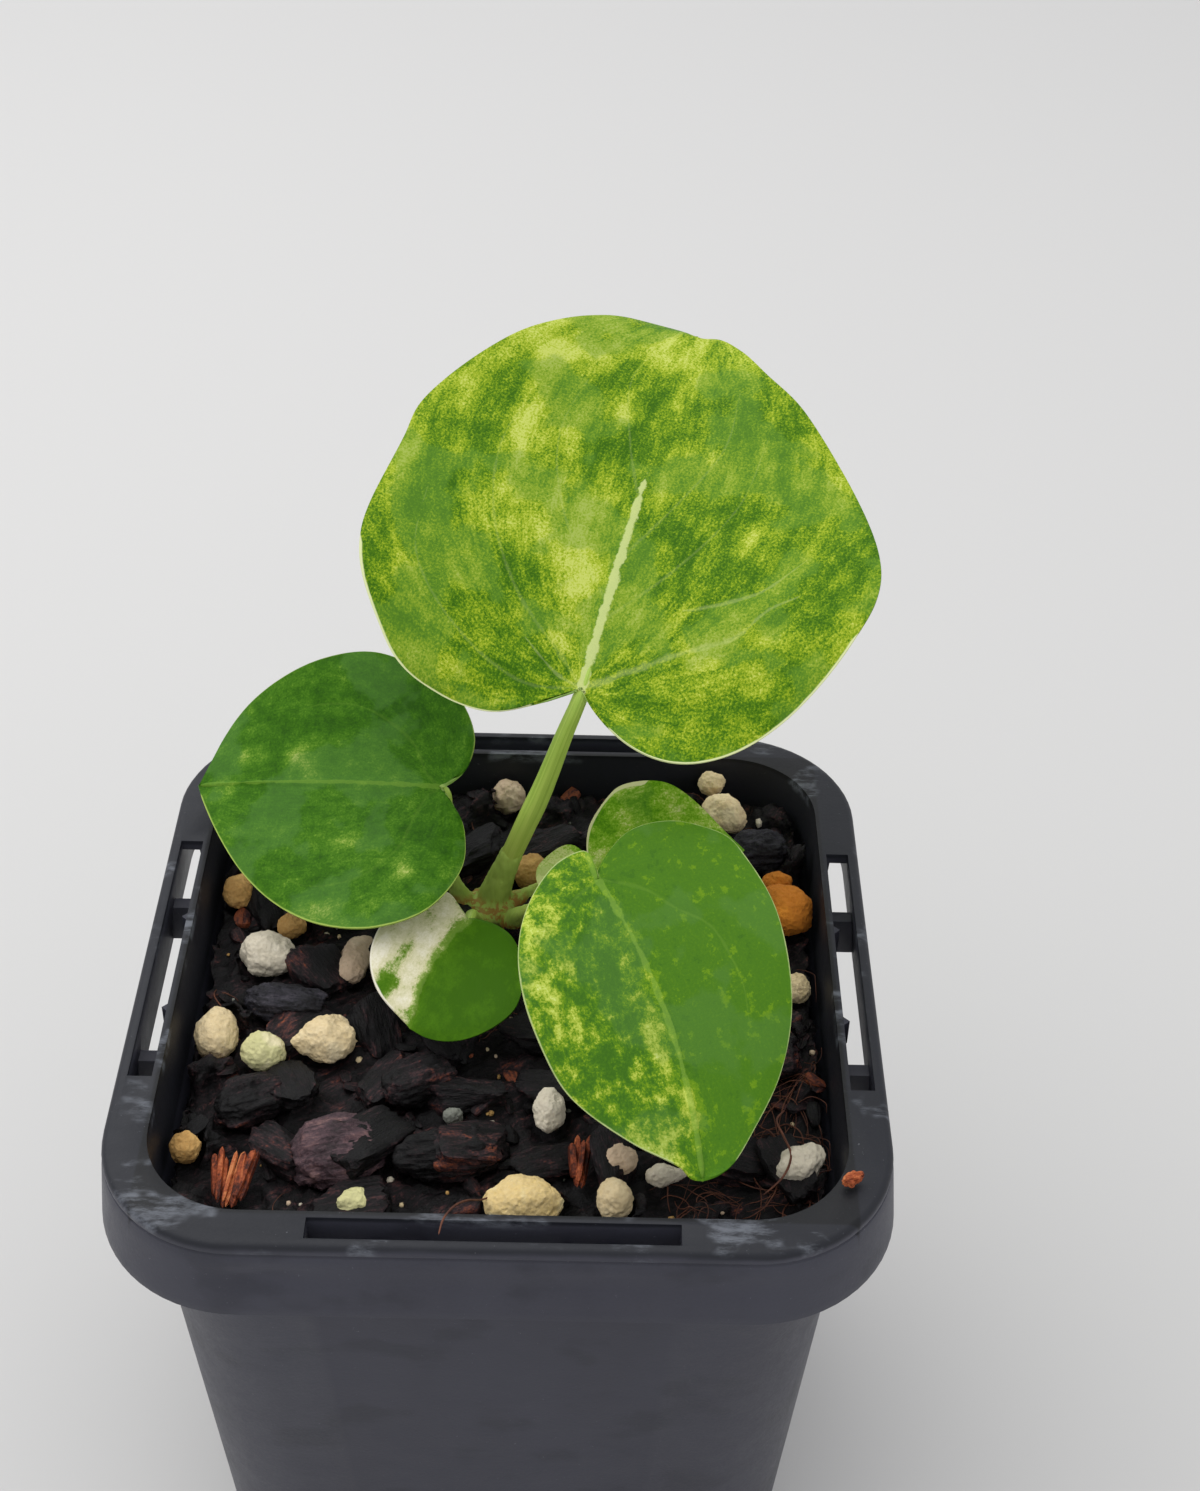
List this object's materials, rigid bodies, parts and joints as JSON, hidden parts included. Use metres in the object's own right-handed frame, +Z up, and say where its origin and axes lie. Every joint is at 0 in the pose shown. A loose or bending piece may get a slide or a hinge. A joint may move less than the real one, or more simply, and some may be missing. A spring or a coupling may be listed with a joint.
{
  "type": "potted anthurium seedling",
  "caption": "Young anthurium with heart-shaped, yellow-marbled leaves on slim stalks, growing from a crown in chunky bark and pumice mix in a square charcoal nursery pot.",
  "frame": {"origin": "centre of the pot's flat base, on the surface that it stands on", "axes": "+Z up, +X to the right and -Y towards the front of the pot, the side that the picture shows"},
  "size_m": [0.0716, 0.0889, 0.1128],
  "materials": {
    "pot": "moulded charcoal polypropylene, satin with a fine grain and faint scuffs",
    "bark_mix": "damp, nearly black composted bark and coir",
    "bark": "damp bark chunks, rough, some purplish",
    "red_bark": "split red-brown bark, fibrous",
    "pumice": "cream pumice, rough and pitted",
    "clay": "orange baked clay grit, dull",
    "stem": "living stem, olive with reddish-brown sheaths",
    "leaf": "living leaf, satin, mid green marbled with yellow-green, pale midrib, cream edge"
  },
  "bodies": {
    "root": {"pot": "pot", "substrate": "bark_mix", "pumice_01": "pumice", "pumice_02": "pumice", "pumice_03": "pumice", "pumice_04": "pumice", "pumice_05": "pumice", "pumice_06": "pumice", "pumice_07": "pumice", "pumice_08": "pumice", "pumice_09": "pumice", "pumice_10": "pumice", "pumice_11": "pumice", "pumice_12": "pumice", "pumice_13": "pumice", "pumice_14": "pumice", "pumice_15": "pumice", "pumice_16": "pumice", "pumice_17": "pumice", "pumice_18": "pumice", "pumice_19": "pumice", "pumice_20": "pumice", "pumice_21": "pumice", "pumice_22": "pumice", "pumice_23": "pumice", "pumice_24": "pumice", "clay_ball_01": "clay", "clay_ball_02": "clay", "bark_01": "bark", "bark_02": "bark", "bark_03": "bark", "bark_04": "bark", "bark_05": "bark", "bark_06": "bark", "bark_07": "bark", "bark_08": "bark", "bark_09": "bark", "bark_10": "bark", "bark_sliver_01": "red_bark", "bark_sliver_02": "red_bark", "bark_crumb": "red_bark", "crown": "stem", "leaf_main": "leaf", "leaf_left": "leaf", "leaf_front": "leaf", "leaf_rear": "leaf", "leaf_small": "leaf"}
  },
  "joints": []
}
